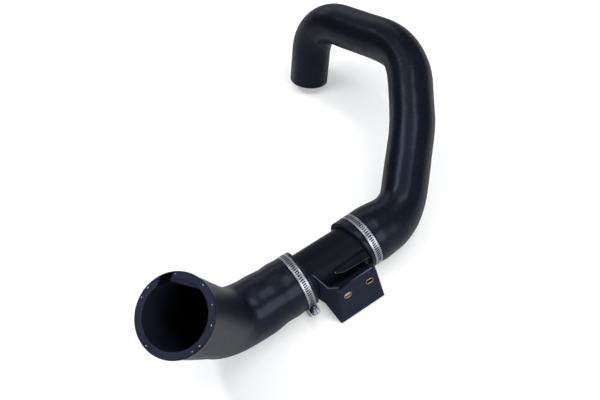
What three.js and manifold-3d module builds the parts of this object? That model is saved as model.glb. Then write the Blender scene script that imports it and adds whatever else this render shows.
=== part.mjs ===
// Charge air hose: two moulded rubber hoses clamped to a steel pipe that carries a welded bracket.
// Millimetres. X runs along the pipe from the front hose to the rear hose, Z is up, and the part
// lies as it comes to rest. The origin is on the floor, under the middle of the part's outline.

import * as THREE from "three";
import { mergeVertices } from "three/addons/utils/BufferGeometryUtils.js";
import Module from "manifold-3d";

// Pipe
const pipeOuterDiameter = 52;
const pipeWall = 2;
const pipeVisibleLength = 66.2;
const pipeBeadHeight = 1.3;
const pipeBeadWidth = 7;
const pipeBeadSetback = 2;

// Fit of the hoses on the pipe
const hoseOverlap = 32;
const hoseWall = 5.5;
const fitGap = 0.3;
const frontClampSetback = 8.3;
const rearClampSetback = 12.1;
const bandPinch = 0.5;
const pinchShoulder = 3;

// The rear hose's end is cut at a slant, and its clamp sits askew. Both lie farthest back on the side
// that the clock angle gives.
const rearEndSlant = 10.9;
const rearClampSlant = 3.8;
const rearSlantClock = 105;

// Front hose, from its end on the pipe to its open mouth
const frontBendStartBore = 57;
const frontBendEndBore = 61;
const frontMouthBore = 64;
const frontMouthWall = 6.5;
const frontLeadStraight = 57.6;
const frontBendRadius = 54;
const frontBendAngle = 70;
const frontBendClock = -19.2;
const frontMouthStraight = 89.8;

// Rear hose, from its end on the pipe to its open end
const rearBore = 42;
const rearTaperLength = 54.2;
const rearLeadStraight = 41.4;
const riseBendRadius = 61;
const riseBendAngle = 47.8;
const riseBendClock = -53.3;
const lowerRiseStraight = 60.5;
const easyBendRadius = 176;
const easyBendAngle = 11.2;
const easyBendClock = -102.1;
const upperRiseStraight = 40.5;
const barBendRadius = 92;
const barBendAngle = 55.2;
const barBendClock = -95.6;
const barStraight = 64.8;
const dropBendRadius = 54;
const dropBendAngle = 83.6;
const dropBendClock = -140.3;
const dropStraight = 48.2;

// Worm-drive clamps
const bandWidth = 9;
const bandThickness = 0.7;
const bandTailAngle = 30;
const bandRampAngle = 18;
const slotPitch = 2.6;
const slotWidth = 1.2;
const slotLength = 4.4;
const slotSlant = 8;
const slottedLength = 122;
const frontHousingClock = 132;
const frontBandTurn = 0;
const frontScrewTurn = 180;
const rearHousingClock = 257;
const rearBandTurn = 180;
const rearScrewTurn = 180;
const housingLength = 12;
const housingWall = 1.2;
const wormRadius = 3.4;
const wormOverhang = 1.5;
const screwHeadAcrossFlats = 7;
const screwHeadLength = 5;
const screwCollarRadius = 4.2;
const screwCollarThickness = 1;
const driverSlotWidth = 1.1;
const driverSlotDepth = 2;

// Bracket: one sheet with a ledge, a slotted plate, a slanted wing and a closing web
const sheetThickness = 2.5;
const bracketClock = 32.4;
const bracketCentre = 42.7;
const foldDrop = 30.8;
const foldStandoff = 33;
const foldOuterRadius = 5;
const plateSlope = 43;
const plateLength = 46;
const ledgeLength = 30;
const ledgeLean = 15;
const plateTopWidth = 47;
const plateLeftFlare = 10.7;
const plateRightFlare = 0.5;
const mountSlotSpacing = 28.4;
const mountSlotShift = -1.8;
const mountSlotDrop = 16;
const mountSlotLength = 10;
const mountSlotWidth = 6;
const wingFold = 53;
const wingShoulder = 12;
const wingShoulderInset = 3;
const wingReach = 28;
const wingRise = 10.8;
const wingHeel = 17;
const hoseClearance = 1;

// Gusset: a tapered plate that lies against the pipe above the bracket. It would reach past the
// pipe's visible end, and is cut back to the rear hose.
const gussetClock = 62;
const gussetStart = 27.4;
const gussetNose = 3;
const gussetTaper = 10;
const gussetOverhang = 8.5;
const gussetRise = 2.8;
const gussetPastPipe = 6.2;

// Resting attitude of the part, as turns about X and then Y
const restRoll = -1.73;
const restPitch = 0.343;

// Fineness of the round surfaces
const hoseSides = 28;
const pipeSides = 32;
const bendStep = 10;
const bandStep = 5;
const foldSegments = 4;
const archSegments = 6;
const slotEndSegments = 6;
const wormSides = 16;
const collarSides = 20;
const headSides = 6;
const roomSides = 64;

// Points nearer to each other than this are taken as one, and so are rings of points along a wall
const samePoint = 1e-4;
const sameRing = 0.5;

// Sizes that follow from the ones above
const pipeRadius = pipeOuterDiameter / 2;
const cuffBoreRadius = pipeRadius + fitGap;
const cuffRadius = cuffBoreRadius + hoseWall;
const bandInnerRadius = cuffRadius - bandPinch + fitGap;
const bandLayer = bandThickness + fitGap;
const frontClampX = -frontClampSetback;
const rearClampX = pipeVisibleLength + rearClampSetback;

const wasm = await Module();
wasm.setup();

const materials = {
  rubber: new THREE.MeshStandardMaterial({ color: 0x1b1e26, roughness: 0.5, metalness: 0 }),
  paint: new THREE.MeshStandardMaterial({ color: 0x1d2028, roughness: 0.4, metalness: 0.1 }),
  steel: new THREE.MeshStandardMaterial({ color: 0xa4a7ac, roughness: 0.32, metalness: 1 }),
};

function radians(degrees) {
  return THREE.MathUtils.degToRad(degrees);
}

// The side of the pipe at a clock angle: 0 is Z, and 90 is minus Y.
function clockSide(clock) {
  return new THREE.Vector3(0, -Math.sin(radians(clock)), Math.cos(radians(clock)));
}

// Solids for joining and cutting

function solidFrom(geometry) {
  const bare = geometry.clone();
  bare.deleteAttribute("normal");
  bare.deleteAttribute("uv");
  const merged = mergeVertices(bare, samePoint);
  const mesh = new wasm.Mesh({
    numProp: 3,
    vertProperties: merged.attributes.position.array,
    triVerts: new Uint32Array(merged.index.array),
  });
  return new wasm.Manifold(mesh);
}

function geometryFrom(solid) {
  const mesh = solid.getMesh();
  const geometry = new THREE.BufferGeometry();
  geometry.setAttribute("position", new THREE.BufferAttribute(mesh.vertProperties, mesh.numProp));
  geometry.setIndex(new THREE.BufferAttribute(mesh.triVerts, 1));
  geometry.computeVertexNormals();
  return geometry;
}

function cylinderAlongX(radius, from, to, sides) {
  const geometry = new THREE.CylinderGeometry(radius, radius, to - from, sides);
  return geometry.rotateZ(Math.PI / 2).translate((from + to) / 2, 0, 0);
}

// Centrelines

// A centreline is a chain of straights and bends. At any distance along it, its frame has X ahead.
// A bend's clock angle is the side that it turns to: 0 is the frame's Z, and 90 is its minus Y.
class Centreline {
  constructor(start, frame) {
    this.end = start;
    this.frame = frame;
    this.length = 0;
    this.legs = [];
  }

  straight(length) {
    this.addLeg({ length, steps: 1 });
    return this;
  }

  bend(radius, angle, clock) {
    const steps = Math.ceil(angle / bendStep);
    this.addLeg({ length: radius * radians(angle), steps, radius, clock: radians(clock) });
    return this;
  }

  addLeg(leg) {
    this.legs.push({ ...leg, from: this.length, start: this.end, frame: this.frame });
    const place = this.at(this.length + leg.length);
    this.end = place.position;
    this.frame = place.frame;
    this.length += leg.length;
  }

  at(distance) {
    const leg = this.legs.findLast((each) => each.from <= distance);
    const travelled = distance - leg.from;
    if (!leg.radius) {
      const ahead = new THREE.Vector3(travelled, 0, 0).applyQuaternion(leg.frame);
      return { position: ahead.add(leg.start), frame: leg.frame };
    }
    const turned = travelled / leg.radius;
    const forward = leg.radius * Math.sin(turned);
    const sideways = leg.radius * (1 - Math.cos(turned));
    const offset = new THREE.Vector3(
      forward,
      -sideways * Math.sin(leg.clock),
      sideways * Math.cos(leg.clock),
    );
    const axis = new THREE.Vector3(0, -Math.cos(leg.clock), -Math.sin(leg.clock));
    const turn = new THREE.Quaternion().setFromAxisAngle(axis, turned);
    return {
      position: offset.applyQuaternion(leg.frame).add(leg.start),
      frame: leg.frame.clone().multiply(turn),
    };
  }

  // Distances at which a smooth wall needs a ring of points
  stations() {
    const distances = [0];
    for (const leg of this.legs) {
      for (let step = 1; step <= leg.steps; step += 1) {
        distances.push(leg.from + (leg.length * step) / leg.steps);
      }
    }
    return distances;
  }
}

// Value at a distance, passing smoothly through [distance, value] stops
function smoothly(stops) {
  return (distance) => {
    const next = stops.findIndex(([at]) => at >= distance);
    if (next <= 0) {
      return next === 0 ? stops[0][1] : stops.at(-1)[1];
    }
    const [fromAt, fromValue] = stops[next - 1];
    const [toAt, toValue] = stops[next];
    const share = THREE.MathUtils.smoothstep(distance, fromAt, toAt);
    return THREE.MathUtils.lerp(fromValue, toValue, share);
  };
}

// A wall is turned straight along X from its bore and outer radii, as a closed profile.
function turnedWall(distances, boreAt, outerAt, sides) {
  const outer = distances.map((x) => new THREE.Vector2(outerAt(x), x));
  const inner = distances.map((x) => new THREE.Vector2(boreAt(x), x)).reverse();
  const geometry = new THREE.LatheGeometry([...outer, ...inner, outer[0].clone()], sides);
  return geometry.rotateZ(-Math.PI / 2);
}

// Leans a straight geometry: each point moves along X by its reach towards the clock's side, times
// the slope there.
function leanBack(geometry, slopeAt, clock) {
  const points = geometry.attributes.position;
  const side = clockSide(clock);
  const point = new THREE.Vector3();
  for (let index = 0; index < points.count; index += 1) {
    point.fromBufferAttribute(points, index);
    points.setX(index, point.x + slopeAt(point.x) * point.dot(side));
  }
  return geometry;
}

// Lays a straight geometry along a centreline: its X becomes the distance travelled.
function layAlong(geometry, line) {
  const points = geometry.attributes.position;
  const point = new THREE.Vector3();
  for (let index = 0; index < points.count; index += 1) {
    point.fromBufferAttribute(points, index);
    const distance = THREE.MathUtils.clamp(point.x, 0, line.length);
    const place = line.at(distance);
    point.setX(point.x - distance).applyQuaternion(place.frame).add(place.position);
    points.setXYZ(index, point.x, point.y, point.z);
  }
  geometry.computeVertexNormals();
  return geometry;
}

// Distances from small to large, without near repeats
function inOrder(distances) {
  const sorted = distances.toSorted((a, b) => a - b);
  return sorted.filter((distance, index) => index === 0 || distance - sorted[index - 1] > sameRing);
}

// Pipe

// The rolled bead's middle, measured inwards from the pipe's end
const beadCentre = pipeBeadSetback + pipeBeadWidth / 2;

function pipeGeometry() {
  const from = -hoseOverlap;
  const to = pipeVisibleLength + hoseOverlap;
  const beads = [from + beadCentre, to - beadCentre];
  const beadEdges = beads.flatMap((x) => [x - pipeBeadWidth / 2, x + pipeBeadWidth / 2]);
  const beadShoulders = beads.flatMap((x) => [x - pipeBeadWidth / 4, x + pipeBeadWidth / 4]);
  const distances = inOrder([from, to, ...beads, ...beadEdges, ...beadShoulders]);
  const lift = (x) => {
    const away = Math.min(...beads.map((bead) => Math.abs(x - bead)));
    return pipeBeadHeight * (1 - THREE.MathUtils.smoothstep(away, 0, pipeBeadWidth / 2));
  };
  const outerAt = (x) => pipeRadius + lift(x);
  return turnedWall(distances, (x) => outerAt(x) - pipeWall, outerAt, pipeSides);
}

// Hoses

// Where the bore swells over the pipe's bead, measured from the hose's end
const swellMiddle = hoseOverlap - beadCentre;
const swellStart = swellMiddle - pipeBeadWidth / 2 - fitGap;
const swellEnd = swellMiddle + pipeBeadWidth / 2 + fitGap;

// The cuff is the stretch of a hose that fits over the pipe and under a clamp.
function cuffProfile(clampSetback) {
  const halfBand = bandWidth / 2;
  const bore = [
    [0, cuffBoreRadius],
    [swellStart, cuffBoreRadius],
    [swellMiddle, cuffBoreRadius + pipeBeadHeight],
    [swellEnd, cuffBoreRadius],
    [hoseOverlap + fitGap, cuffBoreRadius],
  ];
  const pinch = smoothly([
    [clampSetback - halfBand - pinchShoulder, 0],
    [clampSetback - halfBand, bandPinch],
    [clampSetback + halfBand, bandPinch],
    [clampSetback + halfBand + pinchShoulder, 0],
  ]);
  const pinchEdges = [-halfBand - pinchShoulder, -halfBand, halfBand, halfBand + pinchShoulder];
  const distances = [...bore.map(([x]) => x), ...pinchEdges.map((x) => clampSetback + x)];
  return { bore, pinch, distances: distances.filter((x) => x >= 0) };
}

function frontHoseGeometry() {
  const backwards = new THREE.Quaternion().setFromAxisAngle(new THREE.Vector3(0, 0, 1), Math.PI);
  const line = new Centreline(new THREE.Vector3(0, 0, 0), backwards)
    .straight(frontLeadStraight)
    .bend(frontBendRadius, frontBendAngle, frontBendClock)
    .straight(frontMouthStraight);
  const cuff = cuffProfile(frontClampSetback);
  const mouthStart = line.length - frontMouthStraight;
  const boreAt = smoothly([
    ...cuff.bore,
    [frontLeadStraight, frontBendStartBore / 2],
    [mouthStart, frontBendEndBore / 2],
    [line.length, frontMouthBore / 2],
  ]);
  const wallAt = smoothly([
    [mouthStart, hoseWall],
    [line.length, frontMouthWall],
  ]);
  const outerAt = (x) => boreAt(x) + wallAt(x) - cuff.pinch(x);
  const middle = (mouthStart + line.length) / 2;
  const distances = inOrder([...line.stations(), ...cuff.distances, middle]);
  return layAlong(turnedWall(distances, boreAt, outerAt, hoseSides), line);
}

const endSlope = Math.tan(radians(rearEndSlant));
const clampSlope = Math.tan(radians(rearClampSlant));

function rearHoseGeometry() {
  const line = new Centreline(new THREE.Vector3(pipeVisibleLength, 0, 0), new THREE.Quaternion())
    .straight(rearLeadStraight)
    .bend(riseBendRadius, riseBendAngle, riseBendClock)
    .straight(lowerRiseStraight)
    .bend(easyBendRadius, easyBendAngle, easyBendClock)
    .straight(upperRiseStraight)
    .bend(barBendRadius, barBendAngle, barBendClock)
    .straight(barStraight)
    .bend(dropBendRadius, dropBendAngle, dropBendClock)
    .straight(dropStraight);
  const cuff = cuffProfile(rearClampSetback);
  const taperEnd = hoseOverlap + rearTaperLength;
  const boreAt = smoothly([...cuff.bore, [taperEnd, rearBore / 2]]);
  const outerAt = (x) => boreAt(x) + hoseWall - cuff.pinch(x);
  const distances = inOrder([...line.stations(), ...cuff.distances, taperEnd]);
  const slopeAt = smoothly([
    [0, endSlope],
    [rearClampSetback - bandWidth / 2, clampSlope],
    [rearClampSetback + bandWidth / 2, clampSlope],
    [swellStart, 0],
  ]);
  const wall = turnedWall(distances, boreAt, outerAt, hoseSides);
  return layAlong(leanBack(wall, slopeAt, rearSlantClock), line);
}

// Clamps

// The band is one strip that laps over its own first turn with a slotted tail.
function bandRadius(angle) {
  const climb = THREE.MathUtils.smoothstep(angle, 360 - bandRampAngle, 360);
  return bandInnerRadius + climb * bandLayer;
}

function bandPoint(angle, lift) {
  const radius = bandRadius(angle) + lift;
  return new THREE.Vector2(radius * Math.cos(radians(angle)), radius * Math.sin(radians(angle)));
}

function bandGeometry() {
  const fullAngle = 360 + bandTailAngle;
  const steps = Math.ceil(fullAngle / bandStep);
  const angles = Array.from({ length: steps + 1 }, (_, index) => (index * fullAngle) / steps);
  const outer = angles.map((angle) => bandPoint(angle, bandThickness));
  const inner = angles.map((angle) => bandPoint(angle, 0)).reverse();
  const strip = new THREE.ExtrudeGeometry(new THREE.Shape([...outer, ...inner]), {
    depth: bandWidth,
    bevelEnabled: false,
  });
  strip.translate(0, 0, -bandWidth / 2);
  const pitchAngle = THREE.MathUtils.radToDeg(slotPitch / bandInnerRadius);
  const slotCount = Math.floor(slottedLength / slotPitch);
  let band = solidFrom(strip);
  for (let index = 0; index < slotCount; index += 1) {
    const angle = fullAngle - (index + 1) * pitchAngle;
    const middle = bandPoint(angle, bandThickness / 2);
    const cutter = new THREE.BoxGeometry(bandLayer, slotWidth, slotLength);
    cutter.rotateX(radians(slotSlant)).rotateZ(radians(angle)).translate(middle.x, middle.y, 0);
    band = band.subtract(solidFrom(cutter));
  }
  return geometryFrom(band);
}

// The housing is an arch over the worm, and its two sides straddle the band.
const wormHeight = bandInnerRadius + 2 * bandLayer + wormRadius;
const housingInnerHalf = bandWidth / 2 + fitGap;
const housingOuterHalf = housingInnerHalf + housingWall;
const housingFoot = bandInnerRadius + bandThickness;
const housingTop = wormHeight + wormRadius + fitGap;

function housingGeometry() {
  const arch = new THREE.Shape();
  arch.moveTo(housingFoot, -housingOuterHalf);
  arch.lineTo(housingTop, -housingOuterHalf);
  arch.quadraticCurveTo(housingTop + housingWall, -housingOuterHalf, housingTop + housingWall, 0);
  arch.quadraticCurveTo(housingTop + housingWall, housingOuterHalf, housingTop, housingOuterHalf);
  arch.lineTo(housingFoot, housingOuterHalf);
  arch.lineTo(housingFoot, housingInnerHalf);
  arch.lineTo(wormHeight, housingInnerHalf);
  arch.quadraticCurveTo(housingTop, housingInnerHalf, housingTop, 0);
  arch.quadraticCurveTo(housingTop, -housingInnerHalf, wormHeight, -housingInnerHalf);
  arch.lineTo(housingFoot, -housingInnerHalf);
  arch.closePath();
  const options = { depth: housingLength, bevelEnabled: false, curveSegments: archSegments };
  const geometry = new THREE.ExtrudeGeometry(arch, options);
  return geometry.translate(0, 0, -housingLength / 2).rotateX(-Math.PI / 2);
}

function screwGeometry() {
  const wormEnd = housingLength / 2 + wormOverhang;
  const collarEnd = wormEnd + screwCollarThickness;
  const headEnd = collarEnd + screwHeadLength;
  const headRadius = screwHeadAcrossFlats / Math.sqrt(3);
  const worm = cylinderAlongX(wormRadius, -wormEnd, wormEnd + fitGap, wormSides);
  const collar = cylinderAlongX(screwCollarRadius, wormEnd, collarEnd, collarSides);
  const head = cylinderAlongX(headRadius, collarEnd - fitGap, headEnd, headSides);
  const driverSlot = new THREE.BoxGeometry(2 * driverSlotDepth, driverSlotWidth, 2 * screwHeadAcrossFlats);
  driverSlot.translate(headEnd, 0, 0);
  let screw = solidFrom(worm).add(solidFrom(collar)).add(solidFrom(head));
  screw = screw.subtract(solidFrom(driverSlot));
  return geometryFrom(screw).rotateZ(Math.PI / 2).translate(wormHeight, 0, 0);
}

// A clamp is built round Z with its housing on X, and then turned to lie round the hose. Its band and
// its screw are turned about X: by a half turn, the slotted tail or the screw's head points the other
// way. The slope leans the clamp back on the rear hose's slanted side.
function clamp(name, x, housingClock, bandTurn, screwTurn, slope) {
  const band = new THREE.Mesh(bandGeometry(), materials.steel);
  band.name = `${name}_clamp_band`;
  band.rotation.z = -radians(bandTailAngle) / 2;
  const winding = new THREE.Group();
  winding.add(band);
  winding.rotation.x = radians(bandTurn);
  const housing = new THREE.Mesh(housingGeometry(), materials.steel);
  housing.name = `${name}_clamp_housing`;
  const screw = new THREE.Mesh(screwGeometry(), materials.steel);
  screw.name = `${name}_clamp_screw`;
  screw.rotation.x = radians(screwTurn);
  const turned = new THREE.Group();
  turned.add(winding, housing, screw);
  turned.rotation.z = radians(housingClock);
  const upright = new THREE.Group();
  upright.add(turned);
  upright.matrixAutoUpdate = false;
  upright.matrix.makeBasis(
    new THREE.Vector3(0, 0, 1),
    new THREE.Vector3(0, -1, 0),
    new THREE.Vector3(1, 0, 0),
  );
  const askew = clockSide(rearSlantClock).multiplyScalar(slope);
  upright.matrix.premultiply(new THREE.Matrix4().makeShear(0, 0, askew.y, 0, askew.z, 0));
  upright.matrix.setPosition(x, 0, 0);
  return upright;
}

// Bracket
// Its own frame has X along the pipe, minus Y as the drop across the pipe and Z as the standoff.

function panel(outline, thickness, place) {
  const geometry = new THREE.ExtrudeGeometry(outline, { depth: thickness, bevelEnabled: false });
  return geometry.applyMatrix4(place);
}

function placeBy(origin, xAxis, yAxis) {
  const zAxis = xAxis.clone().cross(yAxis).normalize();
  const place = new THREE.Matrix4().makeBasis(xAxis, yAxis, zAxis);
  return place.setPosition(origin);
}

const plateDown = new THREE.Vector3(0, -Math.cos(radians(plateSlope)), -Math.sin(radians(plateSlope)));
const plateOut = new THREE.Vector3(0, -Math.sin(radians(plateSlope)), Math.cos(radians(plateSlope)));
const ledgeBack = new THREE.Vector3(0, Math.sin(radians(ledgeLean)), -Math.cos(radians(ledgeLean)));
const fold = new THREE.Vector3(0, -foldDrop, foldStandoff);
const alongPipe = new THREE.Vector3(1, 0, 0);

function profilePoint(vector) {
  return new THREE.Vector2(-vector.y, vector.z);
}

// Ledge, fold and plate as one bent strip, seen along the pipe
function bentStrip() {
  const ledgeUp = alongPipe.clone().cross(ledgeBack);
  const on = (direction, distance, inset, normal) =>
    profilePoint(
      fold.clone().addScaledVector(direction, distance).addScaledVector(normal, -inset),
    );
  const halfTurn = Math.tan(Math.acos(ledgeUp.dot(plateOut)) / 2);
  const innerCorner = fold
    .clone()
    .addScaledVector(plateOut, -sheetThickness)
    .addScaledVector(plateDown, sheetThickness * halfTurn);
  const tangentLength = foldOuterRadius * halfTurn;
  const strip = new THREE.Shape();
  const outerCorner = profilePoint(fold);
  const insideCorner = profilePoint(innerCorner);
  const outerPlate = on(plateDown, tangentLength, 0, plateOut);
  const innerLedge = on(ledgeBack, tangentLength, sheetThickness, ledgeUp);
  strip.moveTo(...on(ledgeBack, ledgeLength, 0, ledgeUp).toArray());
  strip.lineTo(...on(ledgeBack, tangentLength, 0, ledgeUp).toArray());
  strip.quadraticCurveTo(outerCorner.x, outerCorner.y, outerPlate.x, outerPlate.y);
  strip.lineTo(...on(plateDown, plateLength, 0, plateOut).toArray());
  strip.lineTo(...on(plateDown, plateLength, sheetThickness, plateOut).toArray());
  strip.lineTo(...on(plateDown, tangentLength, sheetThickness, plateOut).toArray());
  strip.quadraticCurveTo(insideCorner.x, insideCorner.y, innerLedge.x, innerLedge.y);
  strip.lineTo(...on(ledgeBack, ledgeLength, sheetThickness, ledgeUp).toArray());
  strip.closePath();
  const width = plateTopWidth + 2 * (plateLeftFlare + plateRightFlare);
  const geometry = new THREE.ExtrudeGeometry(strip, {
    depth: width,
    bevelEnabled: false,
    curveSegments: foldSegments,
  });
  geometry.translate(0, 0, -width / 2);
  const place = new THREE.Matrix4().makeBasis(
    new THREE.Vector3(0, -1, 0),
    new THREE.Vector3(0, 0, 1),
    new THREE.Vector3(-1, 0, 0),
  );
  return geometry.applyMatrix4(place.setPosition(bracketCentre, 0, 0));
}

// Corners of the plate's outer face
const topLeft = fold.clone().setX(bracketCentre - plateTopWidth / 2);
const topRight = fold.clone().setX(bracketCentre + plateTopWidth / 2);
const bottomLeft = topLeft.clone().addScaledVector(plateDown, plateLength);
bottomLeft.x -= plateLeftFlare;
const bottomRight = topRight.clone().addScaledVector(plateDown, plateLength);
bottomRight.x += plateRightFlare;

// The sheet's outline seen square to the pipe, as a block that keeps what lies within it
function outlineBlock() {
  const above = new THREE.Vector3(0, foldDrop + foldStandoff, 0);
  const below = (top, bottom) => bottom.clone().add(bottom.clone().sub(top));
  const corners = [
    topLeft.clone().add(above),
    topLeft,
    below(topLeft, bottomLeft),
    below(topRight, bottomRight),
    topRight,
    topRight.clone().add(above),
  ];
  const outline = new THREE.Shape(corners.map((corner) => new THREE.Vector2(corner.x, corner.y)));
  const depth = 2 * (foldDrop + foldStandoff);
  const geometry = new THREE.ExtrudeGeometry(outline, { depth, bevelEnabled: false });
  return geometry.translate(0, 0, -depth / 2);
}

function mountSlot(x) {
  const straight = (mountSlotLength - mountSlotWidth) / 2;
  const radius = mountSlotWidth / 2;
  const outline = new THREE.Shape();
  outline.absarc(straight, 0, radius, -Math.PI / 2, Math.PI / 2, false);
  outline.absarc(-straight, 0, radius, Math.PI / 2, (3 * Math.PI) / 2, false);
  outline.closePath();
  // The cutter stands out of both faces of the sheet.
  const depth = 4 * sheetThickness;
  const middle = fold.clone().setX(x).addScaledVector(plateDown, mountSlotDrop);
  middle.addScaledVector(plateOut, -depth / 2);
  const options = { depth, bevelEnabled: false, curveSegments: slotEndSegments };
  const geometry = new THREE.ExtrudeGeometry(outline, options);
  return geometry.applyMatrix4(placeBy(middle, alongPipe, plateDown.clone().negate()));
}

// The wing folds back from the plate's left edge and reaches the front of the pipe. It is drawn on
// into the pipe, and then cut to it.
const intoPipe = pipeRadius / 2;

function wing() {
  const edge = bottomLeft.clone().sub(topLeft);
  const foldLine = edge.clone().normalize();
  const inPlate = plateOut.clone().cross(foldLine).normalize();
  inPlate.multiplyScalar(-Math.sign(inPlate.x));
  const back = inPlate
    .clone()
    .multiplyScalar(Math.cos(radians(wingFold)))
    .addScaledVector(plateOut, -Math.sin(radians(wingFold)));
  const outline = new THREE.Shape();
  outline.moveTo(0, 0);
  outline.lineTo(wingShoulderInset, wingShoulder);
  outline.lineTo(-wingRise, wingReach);
  outline.lineTo(-wingRise, wingReach + intoPipe);
  outline.lineTo(wingRise, wingReach + intoPipe);
  outline.lineTo(edge.length() / 2, wingHeel);
  outline.lineTo(edge.length(), 0);
  outline.closePath();
  return panel(outline, sheetThickness, placeBy(topLeft, foldLine, back));
}

// The web closes the far side between the plate, the ledge and the pipe.
function closingWeb() {
  const ledgeEnd = fold.clone().addScaledVector(ledgeBack, ledgeLength);
  const outline = new THREE.Shape();
  outline.moveTo(foldDrop, foldStandoff);
  outline.lineTo(-bottomRight.y, bottomRight.z);
  outline.lineTo(foldDrop, -sheetThickness);
  outline.lineTo(-ledgeEnd.y, -sheetThickness);
  outline.lineTo(-ledgeEnd.y, ledgeEnd.z);
  outline.closePath();
  const acrossPipe = new THREE.Vector3(0, -1, 0);
  const outOfPipe = new THREE.Vector3(0, 0, 1);
  const corner = new THREE.Vector3(topRight.x, 0, 0);
  return panel(outline, sheetThickness, placeBy(corner, acrossPipe, outOfPipe));
}

// Room for the pipe and for the ends of both hoses
function pipeRoom() {
  const to = pipeVisibleLength + hoseOverlap;
  return solidFrom(cylinderAlongX(pipeRadius + fitGap, -hoseOverlap, to, roomSides));
}

// This room is wider than the hose, so that the sheet ends in one straight cut.
function frontHoseRoom() {
  const radius = cuffRadius + hoseOverlap;
  return solidFrom(cylinderAlongX(radius, -2 * hoseOverlap, hoseClearance, roomSides));
}

// The room is made in the frame of a piece that is turned about the pipe by its own clock angle.
function rearHoseRoom(pieceClock) {
  const from = pipeVisibleLength - hoseClearance;
  const room = cylinderAlongX(cuffRadius + hoseClearance, from, from + 2 * hoseOverlap, roomSides);
  return solidFrom(leanBack(room, () => endSlope, rearSlantClock - pieceClock));
}

function bracketGeometry() {
  let bracket = solidFrom(bentStrip()).intersect(solidFrom(outlineBlock()));
  for (const side of [-1, 1]) {
    const middle = bracketCentre + mountSlotShift + (side * mountSlotSpacing) / 2;
    bracket = bracket.subtract(solidFrom(mountSlot(middle)));
  }
  bracket = bracket.add(solidFrom(wing())).add(solidFrom(closingWeb()));
  bracket = bracket.subtract(pipeRoom());
  bracket = bracket.subtract(frontHoseRoom()).subtract(rearHoseRoom(bracketClock));
  return geometryFrom(bracket);
}

function gussetGeometry() {
  const end = pipeVisibleLength + gussetPastPipe;
  const outline = new THREE.Shape();
  outline.moveTo(gussetStart, 0);
  outline.lineTo(end, gussetRise);
  outline.lineTo(end, -gussetOverhang);
  outline.lineTo(gussetStart + gussetTaper, -gussetOverhang + gussetNose / 2);
  outline.lineTo(gussetStart, -gussetNose);
  outline.closePath();
  const options = { depth: sheetThickness, bevelEnabled: false };
  const plate = new THREE.ExtrudeGeometry(outline, options).translate(0, 0, pipeRadius + fitGap);
  return geometryFrom(solidFrom(plate).subtract(rearHoseRoom(gussetClock)));
}

// Assembly

function mesh(name, geometry, material) {
  const made = new THREE.Mesh(geometry, material);
  made.name = name;
  return made;
}

const assembly = new THREE.Group();
assembly.add(mesh("front_hose", frontHoseGeometry(), materials.rubber));
assembly.add(mesh("rear_hose", rearHoseGeometry(), materials.rubber));
assembly.add(mesh("pipe", pipeGeometry(), materials.paint));
assembly.add(clamp("front", frontClampX, frontHousingClock, frontBandTurn, frontScrewTurn, 0));
assembly.add(clamp("rear", rearClampX, rearHousingClock, rearBandTurn, rearScrewTurn, clampSlope));

const bracket = mesh("bracket", bracketGeometry(), materials.paint);
bracket.rotation.x = radians(bracketClock);
const gusset = mesh("gusset", gussetGeometry(), materials.paint);
gusset.rotation.x = radians(gussetClock);
assembly.add(bracket, gusset);

// The part is turned to the attitude in which it rests, and stood on the floor.
const part = new THREE.Group();
part.add(assembly);
assembly.rotation.set(radians(restRoll), radians(restPitch), 0, "YXZ");
part.updateMatrixWorld(true);
const box = new THREE.Box3().setFromObject(part, true);
assembly.position.set(-(box.min.x + box.max.x) / 2, -(box.min.y + box.max.y) / 2, -box.min.z);

export default part;
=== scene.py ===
# Charge air hose: two moulded rubber hoses on a painted pipe with a welded bracket.
# Lengths are in millimetres until a mesh is made. X runs along the pipe before the part is laid at rest.

import math
import random

import bmesh
import bpy
import numpy as np
from mathutils import Matrix, Vector, noise


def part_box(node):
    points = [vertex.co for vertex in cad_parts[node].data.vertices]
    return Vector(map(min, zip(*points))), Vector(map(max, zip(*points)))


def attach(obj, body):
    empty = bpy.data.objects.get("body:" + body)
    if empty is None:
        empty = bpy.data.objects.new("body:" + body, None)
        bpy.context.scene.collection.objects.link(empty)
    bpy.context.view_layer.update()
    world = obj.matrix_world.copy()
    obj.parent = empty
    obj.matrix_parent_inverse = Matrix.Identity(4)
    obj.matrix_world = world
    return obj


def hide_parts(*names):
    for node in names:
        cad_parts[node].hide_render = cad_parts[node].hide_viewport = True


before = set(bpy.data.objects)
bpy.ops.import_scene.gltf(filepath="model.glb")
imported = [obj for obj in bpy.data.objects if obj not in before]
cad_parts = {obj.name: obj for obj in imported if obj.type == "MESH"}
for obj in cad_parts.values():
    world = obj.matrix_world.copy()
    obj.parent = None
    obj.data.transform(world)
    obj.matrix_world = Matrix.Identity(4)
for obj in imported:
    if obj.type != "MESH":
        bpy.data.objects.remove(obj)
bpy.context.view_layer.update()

MM = 0.001

# Sizes of the pipe and its fit
pipe_radius = 26.0
pipe_wall = 2.0
pipe_visible_length = 66.2
pipe_bead_height = 1.3
pipe_bead_width = 7.0
pipe_bead_setback = 2.0
hose_overlap = 32.0
hose_wall = 5.5
fit_gap = 0.3
front_clamp_setback = 8.3
rear_clamp_setback = 12.1
band_pinch = 0.5
rear_end_slant = 10.9
rear_clamp_slant = 3.8
rear_slant_clock = 105.0
cuff_bore = pipe_radius + fit_gap
cuff_radius = cuff_bore + hose_wall

# Sizes of the front hose
front_bend_start_bore = 57.0
front_bend_end_bore = 61.0
front_mouth_bore = 64.0
front_mouth_wall = 6.5
front_lead_straight = 57.6
front_bend_radius = 54.0
front_bend_angle = 70.0
front_bend_clock = -19.2
front_mouth_straight = 89.8

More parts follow.
